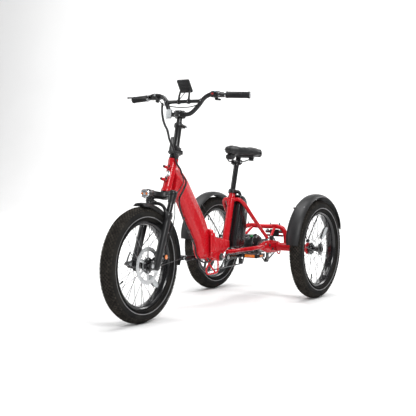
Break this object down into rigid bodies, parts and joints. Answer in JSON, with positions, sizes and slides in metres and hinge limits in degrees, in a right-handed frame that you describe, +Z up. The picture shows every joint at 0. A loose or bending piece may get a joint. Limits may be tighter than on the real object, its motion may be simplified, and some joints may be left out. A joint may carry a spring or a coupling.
{
  "type": "adult tricycle",
  "caption": "Adult electric tricycle with a step-through folding frame, one steered front wheel, two rear wheels on a wide axle, padded saddle and raised handlebar.",
  "frame": {"origin": "on the ground, midway along the length between the front and rear tyres' ends, on the centre plane", "axes": "+X to the rider's left, -Y forward along the length, +Y rearward, +Z up"},
  "size_m": [0.771, 1.728, 1.176],
  "materials": {
    "frame_red": "gloss",
    "black_paint": "satin",
    "black_plastic": "satin",
    "button_red": "gloss",
    "rubber": "matte",
    "tyre": "matte",
    "wheel_metal": "satin",
    "steel": "brushed",
    "dark_steel": "satin",
    "lamp_chrome": "gloss",
    "vinyl": "satin",
    "battery_pack": "gloss",
    "motor_shell": "satin"
  },
  "bodies": {
    "rear_frame": {"main_beam": "frame_red", "left_chainstay": "frame_red", "right_chainstay": "frame_red", "left_seatstay": "frame_red", "right_seatstay": "frame_red", "axle_housing": "frame_red", "rear_light": "black_plastic", "left_fender": "black_plastic", "right_fender": "black_plastic", "seat_clamp": "black_paint", "battery_rail": "black_plastic", "crank_chain": "dark_steel", "axle_chain": "dark_steel", "derailleur": "dark_steel", "chain_tensioner": "dark_steel"},
    "seat_lever": {"seat_lever": "black_paint"},
    "seatpost": {"seatpost": "black_paint", "saddle": "vinyl"},
    "battery": {"battery": "battery_pack"},
    "motor": {"motor": "motor_shell"},
    "cassette": {"cassette": "dark_steel"},
    "axle_sprocket": {"axle_sprocket": "dark_steel"},
    "crank": {"right_crank": "black_paint", "left_crank": "black_paint"},
    "left_pedal": {"left_pedal": "black_plastic"},
    "right_pedal": {"right_pedal": "black_plastic"},
    "left_wheel": {"left_tyre": "tyre", "left_laced_wheel": "wheel_metal"},
    "right_wheel": {"right_tyre": "tyre", "right_laced_wheel": "wheel_metal"},
    "front_frame": {"front_frame": "frame_red", "loom_frame": "black_plastic"},
    "frame_latch": {"frame_latch": "frame_red"},
    "fork": {"fork_crown": "black_paint", "stem_base": "black_paint", "loom_fork": "black_plastic"},
    "stem_latch": {"stem_latch": "dark_steel"},
    "fork_lower": {"fork_lowers": "black_paint", "front_fender": "black_plastic", "brake_caliper": "black_paint"},
    "headlight": {"headlight": "lamp_chrome"},
    "axle_lever": {"axle_lever": "dark_steel"},
    "front_wheel": {"front_tyre": "tyre", "front_laced_wheel": "wheel_metal", "front_rotor": "steel"},
    "stem": {"stem_mast": "black_paint"},
    "height_lever": {"height_lever": "steel"},
    "bars": {"bar_post": "black_paint", "handlebar": "black_paint", "left_grip": "rubber", "right_grip": "rubber", "left_controls": "black_plastic", "right_controls": "black_plastic", "loom_bars": "black_plastic"},
    "left_brake_lever": {"left_brake_lever": "black_paint"},
    "right_brake_lever": {"right_brake_lever": "black_paint"},
    "horn_button": {"horn_button": "button_red"},
    "throttle_lever": {"throttle_lever": "black_plastic"},
    "shift_lever": {"shift_lever": "black_plastic"},
    "display": {"display": "black_plastic"}
  },
  "joints": [
    {"name": "frame_fold", "type": "hinge", "parent": "rear_frame", "child": "front_frame", "pos_m": [-0.045, -0.012, 0.333], "axis": [0, 0, 1], "range_deg": [-32, 0]},
    {"name": "frame_latch_open", "type": "hinge", "parent": "front_frame", "child": "frame_latch", "pos_m": [0.0405, -0.038, 0.337], "axis": [0, 0, 1], "range_deg": [-110, 0]},
    {"name": "steer", "type": "hinge", "parent": "front_frame", "child": "fork", "pos_m": [0, -0.515, 0.276], "axis": [0, 0.3681, 0.9298], "range_deg": [-50, 50]},
    {"name": "suspension", "type": "slide", "parent": "fork", "child": "fork_lower", "axis": [0, 0.3681, 0.9298], "range_m": [0, 0.045], "stiffness_N_per_m": 9000, "springref_m": -0.03},
    {"name": "front_wheel_spin", "type": "hinge", "parent": "fork_lower", "child": "front_wheel", "pos_m": [0, -0.588, 0.276], "axis": [1, 0, 0], "continuous": true},
    {"name": "headlight_tilt", "type": "hinge", "parent": "fork_lower", "child": "headlight", "pos_m": [0, -0.508, 0.584], "axis": [1, 0, 0], "range_deg": [-4, 12]},
    {"name": "axle_lever_open", "type": "hinge", "parent": "fork_lower", "child": "axle_lever", "pos_m": [-0.084, -0.58803, 0.27598], "axis": [0, -0.9298, 0.3681], "range_deg": [0, 120]},
    {"name": "stem_fold", "type": "hinge", "parent": "fork", "child": "stem", "pos_m": [0, -0.27157, 0.812], "axis": [-1, 0, 0], "range_deg": [0, 100]},
    {"name": "stem_latch_open", "type": "hinge", "parent": "fork", "child": "stem_latch", "pos_m": [0, -0.33828, 0.81201], "axis": [1, 0, 0], "range_deg": [0, 110]},
    {"name": "height_lever_open", "type": "hinge", "parent": "stem", "child": "height_lever", "pos_m": [0.027, -0.24592, 0.93642], "axis": [0, 0.225, 0.9744], "range_deg": [0, 120]},
    {"name": "bar_height", "type": "slide", "parent": "stem", "child": "bars", "axis": [0, 0.225, 0.9744], "range_m": [0, 0.08]},
    {"name": "left_brake", "type": "hinge", "parent": "bars", "child": "left_brake_lever", "pos_m": [0.216, -0.24, 1.0935], "axis": [0, 0, 1], "range_deg": [0, 18], "stiffness_Nm_per_rad": 0.6, "springref_deg": -8.59},
    {"name": "right_brake", "type": "hinge", "parent": "bars", "child": "right_brake_lever", "pos_m": [-0.216, -0.24, 1.0935], "axis": [0, 0, -1], "range_deg": [0, 18], "stiffness_Nm_per_rad": 0.6, "springref_deg": -8.59},
    {"name": "horn_press", "type": "slide", "parent": "bars", "child": "horn_button", "axis": [0, 1, 0], "range_m": [0, 0.0025], "stiffness_N_per_m": 400, "springref_m": -0.001},
    {"name": "throttle", "type": "hinge", "parent": "bars", "child": "throttle_lever", "pos_m": [0.18, -0.208, 1.072], "axis": [0, 0, 1], "range_deg": [0, 25], "stiffness_Nm_per_rad": 0.05, "springref_deg": -11.46},
    {"name": "shift", "type": "hinge", "parent": "bars", "child": "shift_lever", "pos_m": [-0.18, -0.208, 1.072], "axis": [0, 0, -1], "range_deg": [0, 25], "stiffness_Nm_per_rad": 0.05, "springref_deg": -11.46},
    {"name": "display_tilt", "type": "hinge", "parent": "bars", "child": "display", "pos_m": [0, -0.229, 1.064], "axis": [1, 0, 0], "range_deg": [-15, 15]},
    {"name": "seat_height", "type": "slide", "parent": "rear_frame", "child": "seatpost", "axis": [0, 0.2639, 0.9646], "range_m": [-0.08, 0.1]},
    {"name": "seat_lever_open", "type": "hinge", "parent": "rear_frame", "child": "seat_lever", "pos_m": [0.0395, 0.2458, 0.59901], "axis": [0, 0.2639, 0.9646], "range_deg": [0, 130]},
    {"name": "battery_slide", "type": "slide", "parent": "rear_frame", "child": "battery", "axis": [0, 0.2639, 0.9646], "range_m": [0, 0.12]},
    {"name": "crank_spin", "type": "hinge", "parent": "rear_frame", "child": "crank", "pos_m": [0, 0.076, 0.257], "axis": [1, 0, 0], "continuous": true},
    {"name": "left_pedal_spin", "type": "hinge", "parent": "crank", "child": "left_pedal", "pos_m": [0.14, 0.246, 0.257], "axis": [1, 0, 0], "continuous": true},
    {"name": "right_pedal_spin", "type": "hinge", "parent": "crank", "child": "right_pedal", "pos_m": [-0.14, -0.094, 0.257], "axis": [1, 0, 0], "continuous": true},
    {"name": "cassette_spin", "type": "hinge", "parent": "rear_frame", "child": "cassette", "pos_m": [0, 0.452, 0.285], "axis": [1, 0, 0], "continuous": true},
    {"name": "motor_spin", "type": "hinge", "parent": "rear_frame", "child": "motor", "pos_m": [0, 0.452, 0.285], "axis": [1, 0, 0], "continuous": true},
    {"name": "axle_sprocket_spin", "type": "hinge", "parent": "rear_frame", "child": "axle_sprocket", "pos_m": [0, 0.588, 0.276], "axis": [1, 0, 0], "continuous": true},
    {"name": "left_wheel_spin", "type": "hinge", "parent": "rear_frame", "child": "left_wheel", "pos_m": [0.3425, 0.588, 0.276], "axis": [1, 0, 0], "continuous": true},
    {"name": "right_wheel_spin", "type": "hinge", "parent": "rear_frame", "child": "right_wheel", "pos_m": [-0.3425, 0.588, 0.276], "axis": [1, 0, 0], "continuous": true}
  ],
  "couplings": [
    {"joint": "cassette_spin", "follows": "crank_spin", "ratio": 2.2222},
    {"joint": "axle_sprocket_spin", "follows": "motor_spin", "ratio": 0.5417}
  ]
}
